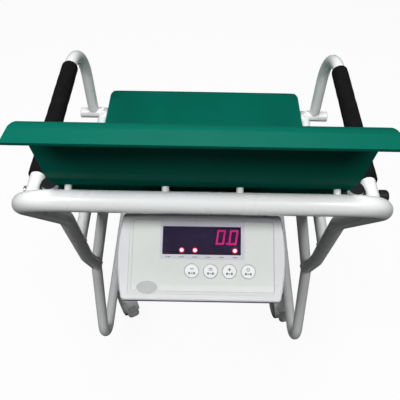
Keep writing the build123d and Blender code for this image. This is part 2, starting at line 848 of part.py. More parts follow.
def key_hole(x):
    return Pos(x, key_centre_v, 0) * Cylinder(key_radius + key_gap, 2 * case_skin_limit)


for x in key_places:
    front_case = front_case - key_hole(x)
save(placed_on_face(front_case), "indicator_front_case")

rear_case = case_block(0, -indicator_depth, split_depth)
rear_case = fillet(rear_case.edges().group_by(Axis.Z)[0], rear_case_edge_radius)
rear_inside = case_block(indicator_wall, -indicator_depth + indicator_wall, split_depth + cut_margin)
rear_case = rear_case - rear_inside
gland_centre = Pos(gland_x, gland_v, -indicator_depth + indicator_wall / 2)
rear_case = rear_case - gland_centre * Cylinder(gland_radius, 2 * gland_reach)
board_top = -board_depth
board_bottom = board_top - circuit_board_thickness
pillar_x = panel_width / 2 - pillar_inset
pillar_v = panel_height / 2 - pillar_inset
pillar_low = -indicator_depth + indicator_wall / 2
for side_x in (-1, 1):
    for side_v in (-1, 1):
        centre = Pos(side_x * pillar_x, side_v * pillar_v, (pillar_low + board_bottom) / 2)
        rear_case = rear_case + centre * Cylinder(pillar_radius, board_bottom - pillar_low)
save(placed_on_face(rear_case), "indicator_rear_case")

# Cable gland that closes the inlet in the rear wall
gland = Cylinder(gland_radius - plug_clearance, 2 * gland_reach)
gland_nut = Cylinder(gland_radius + plug_flange, gland_nut_length)
gland = gland + Pos(0, 0, -(indicator_wall + gland_nut_length) / 2) * gland_nut
gland = gland - Cylinder(gland_radius / 2, 4 * gland_reach)
save(placed_on_face(gland_centre * gland), "cable_gland")

# Front panel sheet, dark window, circuit board, digits and lamps
panel = face_box(
    panel_width - 2 * panel_gap, panel_height - 2 * panel_gap, 0, 0, -panel_thickness, 0
)
panel = fillet(panel.edges().filter_by(Axis.Z), panel_corner)
panel = panel - window_room
for x in key_places:
    panel = panel - key_hole(x)
save(placed_on_face(panel), "front_panel")

window_low = -panel_thickness - window_thickness / 2
window = face_box(
    window_width - 2 * panel_gap,
    window_height - 2 * panel_gap,
    window_centre_x,
    window_centre_v,
    window_low,
    window_low + window_thickness,
)
save(placed_on_face(window), "display_window")

board_width = panel_width - 2 * board_inset
board_height = panel_height - 2 * board_inset
board = face_box(board_width, board_height, 0, 0, board_bottom, board_top)

# Seven-segment digits showing zeros with their point, on modules on the circuit board
digit_bottom = window_low - display_gap - segment_thickness
module_width = digit_count * digit_pitch
module = face_box(
    module_width, digit_height + 2 * digit_stroke, digits_x, digits_v, board_top, digit_bottom
)


def slanted_block(width, height):
    """An upright block that leans to the right as digits on a display do."""
    lean = height / 2 * math.tan(math.radians(digit_slant_degrees))
    corners = [
        (-width / 2 - lean, -height / 2),
        (width / 2 - lean, -height / 2),
        (width / 2 + lean, height / 2),
        (-width / 2 + lean, height / 2),
    ]
    return make_face(Polyline(*corners, close=True))


def digit_zero(x, v):
    """A zero, which is the ring of the six outer segments."""
    outer = slanted_block(digit_width, digit_height)
    inner = slanted_block(digit_width - 2 * digit_stroke, digit_height - 2 * digit_stroke)
    return extrude(Pos(x, v, digit_bottom) * (outer - inner), amount=segment_thickness)


def decimal_point(x, v):
    centre = Pos(x, v, digit_bottom + segment_thickness / 2)
    return centre * Cylinder(point_radius, segment_thickness)


digit_places = [digits_x + (i - (digit_count - 1) / 2) * digit_pitch for i in range(digit_count)]
digits = [digit_zero(x, digits_v) for x in digit_places]
digits.append(decimal_point(digits_x, digits_v - digit_height / 2 + point_radius))
save(Compound(children=[placed_on_face(d) for d in digits]), "display_digits")

# Status lamps below the digits
lamp_places = [window_centre_x + (i - (lamp_count - 1) / 2) * lamp_pitch for i in range(lamp_count)]
lamp_top = window_low - display_gap
lamp = Cylinder(lamp_radius, lamp_top - board_top)
lamps = [Pos(x, lamp_v, (board_top + lamp_top) / 2) * lamp for x in lamp_places]
save(Compound(children=[placed_on_face(lamp) for lamp in lamps]), "status_lamps")

# Keys, each held by a flange behind the front shell, above its switch on the board
flange_top = -indicator_wall - key_gap
switch_top = flange_top - key_flange - key_travel - switch_gap
for index, x in enumerate(key_places):
    cap = Cylinder(key_radius, key_proud - flange_top)
    cap = Pos(x, key_centre_v, (key_proud + flange_top) / 2) * cap
    cap = fillet(cap.edges().group_by(Axis.Z)[-1], key_edge_radius)
    flange = Cylinder(key_radius + key_flange, key_flange)
    flange = Pos(x, key_centre_v, flange_top - key_flange / 2) * flange
    save(placed_on_face(cap + flange), f"key_{index + 1}")
switches = [
    face_box(switch_size, switch_size, x, key_centre_v, board_top, switch_top) for x in key_places
]
board_group = [board, module] + switches
save(Compound(children=[placed_on_face(piece) for piece in board_group]), "circuit_board")

# Bracket bent from sheet, from the front of the rail down to the top of the case
half_bracket = bracket_thickness / 2
bracket_y = rail_y + hoop_tube_radius + half_bracket
down_case = -face_normal
bracket_knee = face_top + face_up * half_bracket
bracket_foot = bracket_knee + down_case * bracket_reach
bracket_path = FilletPolyline(
    (0, bracket_y, rail_z),
    (0, bracket_y, bracket_knee.Z + (bracket_knee.Y - bracket_y) / math.tan(math.pi / 2 - tilt)),
    (0, bracket_foot.Y, bracket_foot.Z),
    radius=[bracket_bend_radius],
)
bracket_start = Plane(origin=bracket_path @ 0, z_dir=bracket_path % 0, x_dir=(1, 0, 0))
bracket = sweep(bracket_start * Rectangle(bracket_width, bracket_thickness), path=bracket_path)
save(bracket, "indicator_bracket")


# Screws: bracket to case, and the shells together at the back
def screw_head(place, direction):
    plane = Plane(origin=place, z_dir=direction)
    return plane * Pos(0, 0, screw_head_height / 2) * Cylinder(screw_radius, screw_head_height)


bracket_screw_centre = bracket_knee + face_up * half_bracket + down_case * bracket_screw_reach
screws = []
for side in (-1, 1):
    place = bracket_screw_centre + Vector(side * (bracket_width / 2 - bracket_screw_inset), 0, 0)
    screws.append(screw_head(place, face_up))
back_centre = face_centre + down_case * indicator_depth
for side_x in (-1, 1):
    for side_v in (-1, 1):
        place = back_centre + Vector(side_x * pillar_x, 0, 0) + face_up * (side_v * pillar_v)
        screws.append(screw_head(place, down_case))
save(Compound(children=screws), "indicator_screws")

# Junction box that joins the load cell leads, under the rear seat cross tube
box_top_z = seat_rail_z - frame_tube_radius
junction_box = box_at(
    -junction_box_width / 2,
    junction_box_width / 2,
    rear_cross_y - junction_box_depth / 2,
    rear_cross_y + junction_box_depth / 2,
    box_top_z - junction_box_height,
    box_top_z,
)
junction_box = fillet(junction_box.edges().filter_by(Axis.Z), junction_box_corner)
save(junction_box, "junction_box")
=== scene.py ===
import json
import math
import random

import bmesh
import bpy
from mathutils import Matrix, Vector


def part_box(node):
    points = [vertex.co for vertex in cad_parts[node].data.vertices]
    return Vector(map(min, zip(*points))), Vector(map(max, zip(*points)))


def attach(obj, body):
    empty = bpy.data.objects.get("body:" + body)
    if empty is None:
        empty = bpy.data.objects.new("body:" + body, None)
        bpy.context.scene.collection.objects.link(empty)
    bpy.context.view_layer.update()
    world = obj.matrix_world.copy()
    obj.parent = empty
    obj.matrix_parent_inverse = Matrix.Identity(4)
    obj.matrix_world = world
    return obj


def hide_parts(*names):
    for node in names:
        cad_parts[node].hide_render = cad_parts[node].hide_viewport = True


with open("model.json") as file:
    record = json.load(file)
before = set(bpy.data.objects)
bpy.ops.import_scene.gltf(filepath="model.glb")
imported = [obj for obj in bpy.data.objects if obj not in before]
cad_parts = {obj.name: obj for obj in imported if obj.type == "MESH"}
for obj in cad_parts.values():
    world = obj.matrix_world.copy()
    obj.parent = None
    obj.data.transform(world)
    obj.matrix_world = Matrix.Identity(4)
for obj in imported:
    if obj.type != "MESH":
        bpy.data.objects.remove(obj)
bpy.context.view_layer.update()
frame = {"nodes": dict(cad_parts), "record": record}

random.seed(7)

# Camera: place, downward pitch, roll, lens and image centre as in the photograph
CAMERA_PLACE = (0.0, -0.709, 1.400)
CAMERA_PITCH = math.radians(50.2)
CAMERA_ROLL = 0.0175
CAMERA_LENS = 46.44
CAMERA_SENSOR = 36.0
CAMERA_SHIFT_X = -0.00625

# Sizes shared with the CAD part, in metres
HOOP_RADIUS = 0.014
TUBE_RADIUS = 0.0125
SIDE_X = 0.252
BASE_X = 0.245
SEAT_RAIL_Z = 0.537
BASE_Z = 0.118
JUNCTION = Vector((SIDE_X, -0.037, 0.345))
HOOP_LOW = Vector((SIDE_X, -0.082, 0.449))
HOOP_BEND = Vector((0.242, -0.151, 0.676))
RAIL_REAR = Vector((0.2481, -0.1088, SEAT_RAIL_Z))
RAIL_FRONT = Vector((SIDE_X, 0.325, SEAT_RAIL_Z))
ARM_POST_Y = 0.291
SEAT_CROSS_YS = (0.038, 0.275)
BASE_CROSS_YS = (0.144, 0.249)
STRUT_TOP = Vector((0.214, SEAT_CROSS_YS[0], SEAT_RAIL_Z))
FACE_TILT = math.radians(63.0)
FACE_TOP = Vector((0.0, -0.289, 0.866))
FACE_HEIGHT = 0.112
WINDOW_CENTRE = (0.0, 0.0215)
WINDOW_SIZE = (0.102, 0.037)
KEY_COUNT = 4
KEY_PITCH = 0.0242
KEYS_CENTRE = (0.024, -0.018)
KEY_RADIUS = 0.0088
KEY_PLACES = [
    (KEYS_CENTRE[0] + (i - (KEY_COUNT - 1) / 2) * KEY_PITCH, KEYS_CENTRE[1])
    for i in range(KEY_COUNT)
]
LAMP_COUNT = 6
LAMP_PITCH = 0.0173
LAMP_UP = 0.009
LAMP_PLACES = [((i - (LAMP_COUNT - 1) / 2) * LAMP_PITCH, LAMP_UP) for i in range(LAMP_COUNT)]
LIT_LAMPS = (1, 2, 5)

# Weld beads
BEAD_RADIUS = 0.0022
BEAD_RIPPLE = 0.16
BEAD_RIPPLE_STEP = 2.1
BEAD_UNEVEN = 0.08
BEAD_SIDES = 8
BEAD_POINTS = 72
STUB_REACH = 0.08

# Foam grips
GRIP_CLEARANCE = 0.0002
GRIP_EDGE = 0.0038
GRIP_EDGE_STEPS = 6
GRIP_END_STEP = 0.0006
GRIP_STEPS = 90
GRIP_SIDES = 72
GRIP_SKIN = 0.001
GRIP_WAVE_DEPTH = 0.00022
GRIP_WAVE_TURNS = 3
GRIP_WAVE_TWIST = 46
GRIP_WAVE_ALONG = 95
GRIP_RING_DEPTH = 0.00028
GRIP_RING_ALONG = 210
GRIP_RING_SWAY = 2

# Prints on the indicator's face: centre and size across and up the face
SURROUND_CENTRE = (0.001, 0.0222)
SURROUND_SIZE = (0.1100, 0.0507)
WINDOW_CORNER = 0.0012
MASK_MARGIN = 0.002
MASK_CORNER = 0.001
BAND_CENTRE = (0.002, -0.0402)
BAND_SIZE = (0.1820, 0.0084)
BAND_CORNER = 0.0006
LINE_CENTRE = (0.002, 0.0016)
LINE_SIZE = (0.1836, 0.0920)
LINE_CORNER = 0.0030
LINE_WIDTH = 0.0006
BADGE_CENTRE = (-0.0690, -0.0398)
BADGE_SIZE = (0.0266, 0.0166)
BADGE_RING_SIZE = (0.0300, 0.0197)
BADGE_RING_GAP = 0.0001
KEY_RING_GAP = 0.0008
KEY_RING_OUTER = 0.0018
LAMP_MARKS = ((-0.0019, 0.0024), (0.0013, 0.0030))
LAMP_MARK_UP = -0.0002
LAMP_MARK_HEIGHT = 0.0011
MARK_CORNER = 0.0003
MARK_CORNER_STEPS = 3
GLOW_DIAMETER = 0.0070
CORE_DIAMETER = 0.0042

# Prints on the indicator's face: lower and upper side, measured out from the panel
BAND_LAYER = (0.00002, 0.00008)
LINE_LAYER = (0.00002, 0.00009)
KEY_RING_LAYER = (0.00002, 0.00010)
SURROUND_LAYER = (0.00002, 0.00022)
BADGE_LAYER = (0.00002, 0.00035)
BADGE_RING_LAYER = (0.00002, 0.00045)
LAMP_MARK_LAYER = (0.00020, 0.00027)
KEY_MARK_LAYER = (0.00069, 0.00076)
MASK_LAYER = (-0.0036, -0.00302)
GLOW_LAYER = (-0.0027, -0.00240)
CORE_LAYER = (-0.00245, -0.00225)
PRINT_RIM = 0.00002
PLATE_RIM = 0.00012

# Marks on the keys: kind, place across and up, width and height, or the hole of a ring
KEY_ROW = [
    ("box", -0.0031, -0.0030, 0.0024, 0.0030),
    ("box", 0.0, -0.0030, 0.0022, 0.0014),
    ("box", 0.0031, -0.0030, 0.0024, 0.0030),
]
KEY_SIGNS = [
    [("box", 0.0, 0.0026, 0.0044, 0.0012)],
    [("box", 0.0, 0.0034, 0.0050, 0.0010), ("box", 0.0, 0.0014, 0.0050, 0.0010)],
    [("box", 0.0, 0.0025, 0.0011, 0.0044), ("box", 0.0, 0.0025, 0.0044, 0.0011)],
    [("ring", 0.0, 0.0026, 0.0044, 0.0026)],
]

# Widths of the rounded edges
EDGE_SHELL = 0.0012
EDGE_CASE = 0.0002
EDGE_FITTING = 0.0005
EDGE_ANGLE = math.radians(35.0)
EDGE_SEGMENTS = 2
WELD_DISTANCE = 0.00001

# Patterns that the finishes share
PATCH_RANGE = (0.35, 0.68)
NOISE_RANGE = (0.3, 0.7)
GLOSS_STEP = 4
COAT_ROUGHNESS = 0.12
SPECK_SOFTNESS = 0.55
SPECK_RARITY = 9.0
SPECK_RANGE = (0.60, 0.66)
RUB_SCALE = 140.0
RUB_RANGE = (0.45, 0.62)
SHARP_RANGE = (0.98, 0.80)
MATT_RANGE = (-0.3, 0.1)

# Studio: tone of the floor and strength of the world, for the camera and for all other rays
FLOOR_REACH = 40.0
FLOOR_TONE_SEEN = 0.80
FLOOR_TONE_UNSEEN = 0.10
FLOOR_PLAIN_SHARE = 0.93
WORLD_SEEN = 1.0
WORLD_UNSEEN = 0.10

# Studio lights: place, target, diameter in metres and power in watts
LIGHTS = {
    "ceiling": ((0.0, 0.35, 3.1), (0, 0.1, 0.5), 1.3, 34.0),
    "rear_key": ((-1.2, -1.1, 2.9), (0, -0.2, 0.6), 1.0, 42.0),
    "rear_fill": ((1.15, -1.2, 2.9), (0, -0.2, 0.6), 1.0, 34.0),
}

face_normal = Vector((0, -math.cos(FACE_TILT), math.sin(FACE_TILT)))
face_up = Vector((0, math.sin(FACE_TILT), math.cos(FACE_TILT)))
face_centre = FACE_TOP - face_up * (FACE_HEIGHT / 2)
face_matrix = Matrix((
    (1, face_up.x, face_normal.x, face_centre.x),
    (0, face_up.y, face_normal.y, face_centre.y),
    (0, face_up.z, face_normal.z, face_centre.z),
    (0, 0, 0, 1),
))


# Materials
def node_tree(name):
    made = bpy.data.materials.new(name)
    made.use_nodes = True
    tree = made.node_tree
    return made, tree, tree.nodes["Principled BSDF"]


def link(tree, start, end):
    tree.links.new(start, end)


def coordinates(tree, stretch=(1, 1, 1)):
    place = tree.nodes.new("ShaderNodeTexCoord")
    mapping = tree.nodes.new("ShaderNodeMapping")
    mapping.inputs["Scale"].default_value = stretch
    link(tree, place.outputs["Object"], mapping.inputs["Vector"])
    return mapping.outputs["Vector"]


def noise(tree, scale, detail=3.0, roughness=0.55, stretch=(1, 1, 1)):
    made = tree.nodes.new("ShaderNodeTexNoise")
    made.inputs["Scale"].default_value = scale
    made.inputs["Detail"].default_value = detail
    made.inputs["Roughness"].default_value = roughness
    link(tree, coordinates(tree, stretch), made.inputs["Vector"])
    return made.outputs["Fac"]


def cells(tree, scale):
    made = tree.nodes.new("ShaderNodeTexVoronoi")
    made.inputs["Scale"].default_value = scale
    link(tree, coordinates(tree), made.inputs["Vector"])
    return made.outputs["Distance"]


def spread(tree, value, low, high, out_low=0.0, out_high=1.0):
    made = tree.nodes.new("ShaderNodeMapRange")
    made.inputs["From Min"].default_value = low
    made.inputs["From Max"].default_value = high
    made.inputs["To Min"].default_value = out_low
    made.inputs["To Max"].default_value = out_high
    link(tree, value, made.inputs["Value"])
    return made.outputs["Result"]


def blend_colour(tree, factor, first, second):
    made = tree.nodes.new("ShaderNodeMix")
    made.data_type = "RGBA"
    link(tree, factor, made.inputs["Factor"])
    for socket, value in ((made.inputs[6], first), (made.inputs[7], second)):
        if isinstance(value, tuple):
            socket.default_value = (*value, 1)
        else:
            link(tree, value, socket)
    return made.outputs[2]


def multiply(tree, first, second):
    made = tree.nodes.new("ShaderNodeMath")
    made.operation = "MULTIPLY"
    link(tree, first, made.inputs[0])
    if isinstance(second, float):
        made.inputs[1].default_value = second
    else:
        link(tree, second, made.inputs[1])
    return made.outputs["Value"]


def edge_mask(tree, width):
    """1 where an edge of the piece is sharp, from the normal of rounded edges."""
    bevel = tree.nodes.new("ShaderNodeBevel")
    bevel.samples = 4
    bevel.inputs["Radius"].default_value = width
    plain = tree.nodes.new("ShaderNodeNewGeometry")
    dot = tree.nodes.new("ShaderNodeVectorMath")
    dot.operation = "DOT_PRODUCT"
    link(tree, bevel.outputs["Normal"], dot.inputs[0])
    link(tree, plain.outputs["Normal"], dot.inputs[1])
    return spread(tree, dot.outputs["Value"], *SHARP_RANGE)


def bumps(tree, shader, layers):
    """Stacks bump layers, each a height output with its depth in metres."""
    normal = None
    for height, depth in layers:
        made = tree.nodes.new("ShaderNodeBump")
        made.inputs["Strength"].default_value = 1.0
        made.inputs["Distance"].default_value = depth
        link(tree, height, made.inputs["Height"])
        if normal is not None:
            link(tree, normal, made.inputs["Normal"])
        normal = made.outputs["Normal"]
    link(tree, normal, shader.inputs["Normal"])


def gloss_above(tree, specular):
    """The given gloss on surfaces that face up, and none on those that face down."""
    facing = tree.nodes.new("ShaderNodeNewGeometry")
    parts = tree.nodes.new("ShaderNodeSeparateXYZ")
    link(tree, facing.outputs["Normal"], parts.inputs["Vector"])
    return spread(tree, parts.outputs["Z"], *MATT_RANGE, 0.0, specular)


def finish(name, base, shade, patch=9.0, grain=900.0, grain_depth=0.00003, swell=60.0, swell_depth=0.0,
           rough=(0.3, 0.45), metallic=0.0, coat=0.0, specular=0.5, worn=None, worn_width=0.0015,
           specks=None, speck_scale=260.0, speck_size=0.16, pores=0.0, pore_depth=0.0, stretch=(1, 1, 1),
           matt_below=False):
    """A finish with colour patches, grain and uneven gloss, and where given specks, pores and worn edges."""
    made, tree, shader = node_tree(name)
    patches = spread(tree, noise(tree, patch, detail=5.0, roughness=0.6), *PATCH_RANGE)
    colour = blend_colour(tree, patches, base, shade)
    if specks:
        spots = spread(tree, cells(tree, speck_scale), speck_size, speck_size * SPECK_SOFTNESS)
        rare = spread(tree, noise(tree, speck_scale / SPECK_RARITY, detail=2.0), *SPECK_RANGE)
        colour = blend_colour(tree, multiply(tree, spots, rare), colour, specks)
    if worn:
        rubbed = spread(tree, noise(tree, RUB_SCALE, detail=4.0), *RUB_RANGE)
        colour = blend_colour(tree, multiply(tree, edge_mask(tree, worn_width), rubbed), colour, worn)
    link(tree, colour, shader.inputs["Base Color"])
    uneven = noise(tree, patch * GLOSS_STEP, detail=6.0, roughness=0.65, stretch=stretch)
    link(tree, spread(tree, uneven, *NOISE_RANGE, *rough), shader.inputs["Roughness"])
    shader.inputs["Metallic"].default_value = metallic
    shader.inputs["Coat Weight"].default_value = coat
    shader.inputs["Coat Roughness"].default_value = COAT_ROUGHNESS
    shader.inputs["Specular IOR Level"].default_value = specular
    if matt_below:
        link(tree, gloss_above(tree, specular), shader.inputs["Specular IOR Level"])
    layers = [(noise(tree, grain, detail=2.0, roughness=0.5, stretch=stretch), grain_depth)]
    if swell_depth:
        layers.append((noise(tree, swell, detail=2.0), swell_depth))
    if pores:
        layers.append((cells(tree, pores), pore_depth))
    bumps(tree, shader, layers)
    return made


def glowing(name, base, glow, strength):
    made, tree, shader = node_tree(name)
    uneven = spread(tree, noise(tree, 420.0, detail=2.0), *NOISE_RANGE)
    link(tree, blend_colour(tree, uneven, base, glow), shader.inputs["Base Color"])
    link(tree, blend_colour(tree, uneven, glow, base), shader.inputs["Emission Color"])
    shader.inputs["Emission Strength"].default_value = strength
    shader.inputs["Roughness"].default_value = 0.3
    bumps(tree, shader, [(noise(tree, 1800.0, detail=2.0), 0.00002)])
    return made


def clear_window(name):
    made, tree, shader = node_tree(name)
    tone = spread(tree, noise(tree, 30.0), *NOISE_RANGE)
    link(tree, blend_colour(tree, tone, (0.42, 0.36, 0.52), (0.36, 0.31, 0.46)), shader.inputs["Base Color"])
    smear = noise(tree, 90.0, detail=5.0, roughness=0.6, stretch=(1, 3, 3))
    link(tree, spread(tree, smear, 0.4, 0.75, 0.03, 0.14), shader.inputs["Roughness"])
    shader.inputs["Transmission Weight"].default_value = 1.0
    shader.inputs["IOR"].default_value = 1.35
    bumps(tree, shader, [(noise(tree, 500.0, detail=2.0), 0.000004)])
    return made


# One finish for each material slot of the record
finishes = {
    "white_paint": finish(
        "white_paint", (0.80, 0.815, 0.82), (0.77, 0.78, 0.775), patch=7.0, grain=1100.0,
        grain_depth=0.00002, swell=180.0, swell_depth=0.00002, rough=(0.24, 0.36), coat=0.25,
        specks=(0.50, 0.49, 0.47), speck_scale=180.0, speck_size=0.09,
    ),
    "white_plastic": finish(
        "white_plastic", (0.78, 0.78, 0.77), (0.68, 0.68, 0.66), patch=30.0, grain=1500.0, rough=(0.3, 0.45),
        worn=(0.55, 0.54, 0.51), worn_width=0.0008,
    ),
    "green_plastic": finish(
        "green_plastic", (0.0013, 0.112, 0.078), (0.0009, 0.095, 0.064), patch=5.0, grain=1400.0,
        grain_depth=0.000012, swell=16.0, swell_depth=0.0004, rough=(0.26, 0.42), specular=0.05,
        matt_below=True, specks=(0.020, 0.16, 0.12), speck_scale=320.0, speck_size=0.10,
    ),
    "foam_black": finish(
        "foam_black", (0.0035, 0.0035, 0.0038), (0.0075, 0.0075, 0.0078), patch=60.0, grain=2400.0,
        grain_depth=0.0001, swell=120.0, swell_depth=0.0004, rough=(0.8, 0.95), specular=0.12,
        pores=1500.0, pore_depth=0.00035,
    ),
    "plug_black": finish(
        "plug_black", (0.0045, 0.0045, 0.005), (0.008, 0.008, 0.0085), patch=50.0, grain=1600.0,
        grain_depth=0.00004, rough=(0.42, 0.62), specular=0.2, worn=(0.03, 0.03, 0.03), worn_width=0.0007,
    ),
    "zinc_steel": finish(
        "zinc_steel", (0.62, 0.62, 0.60), (0.45, 0.45, 0.43), patch=90.0, grain=1300.0, grain_depth=0.00002,
        rough=(0.24, 0.42), metallic=1.0, worn=(0.75, 0.75, 0.74), worn_width=0.0006, stretch=(1, 1, 6),
    ),
    "case_grey": finish(
        "case_grey", (0.60, 0.605, 0.62), (0.565, 0.57, 0.585), patch=12.0, grain=2200.0,
        grain_depth=0.00005, rough=(0.42, 0.6), pores=2600.0, pore_depth=0.00003, worn=(0.5, 0.5, 0.49),
        worn_width=0.0008,
    ),
    "panel_grey": finish(
        "panel_grey", (0.575, 0.60, 0.58), (0.54, 0.565, 0.545), patch=16.0, grain=2600.0,
        grain_depth=0.000015, rough=(0.34, 0.5), specular=0.4,
    ),
    "key_white": finish(
        "key_white", (0.74, 0.76, 0.76), (0.66, 0.68, 0.68), patch=80.0, grain=2000.0, grain_depth=0.00002,
        rough=(0.35, 0.5),
    ),
    "window_dark": clear_window("window_dark"),
    "digit_red": glowing("digit_red", (0.70, 0.008, 0.16), (0.85, 0.015, 0.22), 1.6),
    "lamp_red": finish(
        "lamp_red", (0.10, 0.012, 0.022), (0.075, 0.010, 0.018), patch=200.0, grain=1800.0,
        rough=(0.3, 0.5),
    ),
    "board_green": finish(
        "board_green", (0.010, 0.10, 0.035), (0.016, 0.13, 0.05), patch=120.0, grain=1500.0,
        rough=(0.3, 0.5), specks=(0.6, 0.5, 0.2), speck_scale=500.0,
    ),
    "cell_aluminium": finish(
        "cell_aluminium", (0.72, 0.73, 0.74), (0.62, 0.63, 0.64), patch=60.0, grain=900.0,
        grain_depth=0.00002, rough=(0.26, 0.4), metallic=1.0, stretch=(1, 8, 1), worn=(0.8, 0.8, 0.8),
    ),
    "caster_grey": finish(
        "caster_grey", (0.56, 0.57, 0.57), (0.48, 0.49, 0.49), patch=40.0, grain=1700.0,
        grain_depth=0.00005, rough=(0.42, 0.6), worn=(0.58, 0.58, 0.57), worn_width=0.001,
        specks=(0.16, 0.15, 0.14), speck_scale=240.0,
    ),
    "hub_grey": finish(
        "hub_grey", (0.30, 0.31, 0.31), (0.24, 0.245, 0.245), patch=50.0, grain=1500.0, rough=(0.4, 0.6),
        worn=(0.45, 0.45, 0.44),
    ),
    "tyre_black": finish(
        "tyre_black", (0.020, 0.020, 0.022), (0.055, 0.052, 0.048), patch=45.0, grain=1300.0,
        grain_depth=0.00007, rough=(0.62, 0.85), specular=0.3, worn=(0.12, 0.115, 0.11), worn_width=0.002,
    ),
    "pedal_grey": finish(
        "pedal_grey", (0.30, 0.305, 0.31), (0.24, 0.245, 0.25), patch=60.0, grain=1400.0,
        grain_depth=0.00005, rough=(0.4, 0.6), worn=(0.42, 0.42, 0.42),
    ),
    "box_grey": finish(
        "box_grey", (0.45, 0.46, 0.46), (0.38, 0.39, 0.39), patch=25.0, grain=1600.0, rough=(0.45, 0.6),
        worn=(0.6, 0.6, 0.6),
    ),
}

# Finishes of the prints, the mask behind the window and the lit lamps
surround_grey = finish(
    "surround_grey", (0.49, 0.49, 0.54), (0.46, 0.46, 0.51), patch=20.0, grain=2400.0, grain_depth=0.00001,
    rough=(0.34, 0.5),
)
print_grey = finish(
    "print_grey", (0.10, 0.11, 0.12), (0.16, 0.17, 0.18), patch=300.0, grain=2400.0, grain_depth=0.00001,
    rough=(0.5, 0.7),
)
print_line = finish(
    "print_line", (0.34, 0.35, 0.37), (0.40, 0.41, 0.43), patch=200.0, grain=2400.0, grain_depth=0.00001,
    rough=(0.45, 0.6),
)
print_pale = finish(
    "print_pale", (0.62, 0.63, 0.63), (0.59, 0.60, 0.60), patch=60.0, grain=2400.0, grain_depth=0.00001,
    rough=(0.4, 0.55),
)
badge_grey = finish(
    "badge_grey", (0.37, 0.39, 0.38), (0.40, 0.42, 0.41), patch=90.0, grain=2400.0, grain_depth=0.00001,
    rough=(0.35, 0.5),
)
mask_dark = finish(
    "mask_dark", (0.055, 0.045, 0.085), (0.040, 0.034, 0.065), patch=40.0, grain=1800.0, rough=(0.5, 0.7),
)
lamp_core = glowing("lamp_core", (1.0, 0.50, 0.42), (1.0, 0.66, 0.58), 9.0)
lamp_glow = glowing("lamp_glow", (0.75, 0.02, 0.03), (0.90, 0.05, 0.05), 3.0)

slot_of = {row["node"]: row["material_slot"] for row in frame["record"]["subparts"]}
for name, obj in frame["nodes"].items():
    obj.data.materials.clear()
    obj.data.materials.append(finishes[slot_of[name]])


# Rounded edges on the pieces that are moulded or cut
def soften(name, width):
    obj = frame["nodes"][name]
    weld = obj.modifiers.new("weld", "WELD")
    weld.merge_threshold = WELD_DISTANCE
    bevel = obj.modifiers.new("bevel", "BEVEL")
    bevel.width = width
    bevel.segments = EDGE_SEGMENTS
    bevel.limit_method = "ANGLE"
    bevel.angle_limit = EDGE_ANGLE
    bevel.harden_normals = True


CASE_NODES = ("indicator_front_case", "indicator_rear_case", "front_panel", "display_window")
FITTING_NODES = ("load_cells", "junction_box", "caster_plates")
for name in frame["nodes"]:
    if name == "seat_shell":
        soften(name, EDGE_SHELL)
    elif name in CASE_NODES:
        soften(name, EDGE_CASE)
    elif name in FITTING_NODES or name.endswith(("_fork", "_pedal", "_hubs")):
        soften(name, EDGE_FITTING)


# Building helpers
def new_piece(name, mesh, body, slot, surface=None):
    obj = bpy.data.objects.new(name, mesh)
    bpy.context.scene.collection.objects.link(obj)
    obj.data.materials.append(surface or finishes[slot])
    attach(obj, body)
    return obj


def smooth_mesh(name, shape):
    mesh = bpy.data.meshes.new(name)
    for face in shape.faces:
        face.smooth = True
    shape.to_mesh(mesh)
    shape.free()
    return mesh


def ring_tube(shape, centres, radii, sides):
    """A closed tube through a loop of centres, each with its own radius."""
    count = len(centres)
    rings = []
    for i, centre in enumerate(centres):
        along = (centres[(i + 1) % count] - centres[i - 1]).normalized()
        across = along.orthogonal().normalized()
        if rings:
            across = (last_across - along * last_across.dot(along)).normalized()
        last_across = across
        other = along.cross(across)
        ring = []
        for k in range(sides):
            turn = 2 * math.pi * k / sides
            offset = across * math.cos(turn) + other * math.sin(turn)
            ring.append(shape.verts.new(centre + offset * radii[i]))
        rings.append(ring)
    first, last = rings[0], rings[-1]
    start = min(range(sides), key=lambda k: (first[k].co - last[0].co).length)
    for i in range(count):
        low, high = rings[i], rings[(i + 1) % count]
        shift = start if i == count - 1 else 0
        for k in range(sides):
            corners = (low[k], low[(k + 1) % sides], high[(k + 1 + shift) % sides], high[(k + shift) % sides])
            shape.faces.new(corners)


# Weld beads where the tubes meet, each a rippled ring laid along the real meeting line
def meeting_line(start, direction, radius, other_point, other_direction, other_radius):
    """Where the surface lines of one tube run into another tube."""
    direction = direction.normalized()
    other_direction = other_direction.normalized()
    across = direction.orthogonal().normalized()
    side = direction.cross(across)
    found = []
    for k in range(BEAD_POINTS):
        turn = 2 * math.pi * k / BEAD_POINTS
        origin = start + (across * math.cos(turn) + side * math.sin(turn)) * radius
        gap = origin - other_point
        gap_flat = gap - other_direction * gap.dot(other_direction)
        way_flat = direction - other_direction * direction.dot(other_direction)
        a = way_flat.dot(way_flat)
        b = 2 * gap_flat.dot(way_flat)
        c = gap_flat.dot(gap_flat) - other_radius ** 2
        root = max(b * b - 4 * a * c, 0.0)
        found.append(origin + direction * ((-b - math.sqrt(root)) / (2 * a)))
    return found


def bead(shape, line):
    loop = line[::2]
    radii = []
    for i in range(len(loop)):
        ripple = BEAD_RIPPLE * math.sin(i * BEAD_RIPPLE_STEP)
        radii.append(BEAD_RADIUS * (1 + ripple + random.uniform(-BEAD_UNEVEN, BEAD_UNEVEN)))
    ring_tube(shape, loop, radii, BEAD_SIDES)


def on_both_sides(line):
    """A line on the +X side and its mirror image."""
    return (line, [Vector((-p.x, p.y, p.z)) for p in reversed(line)])


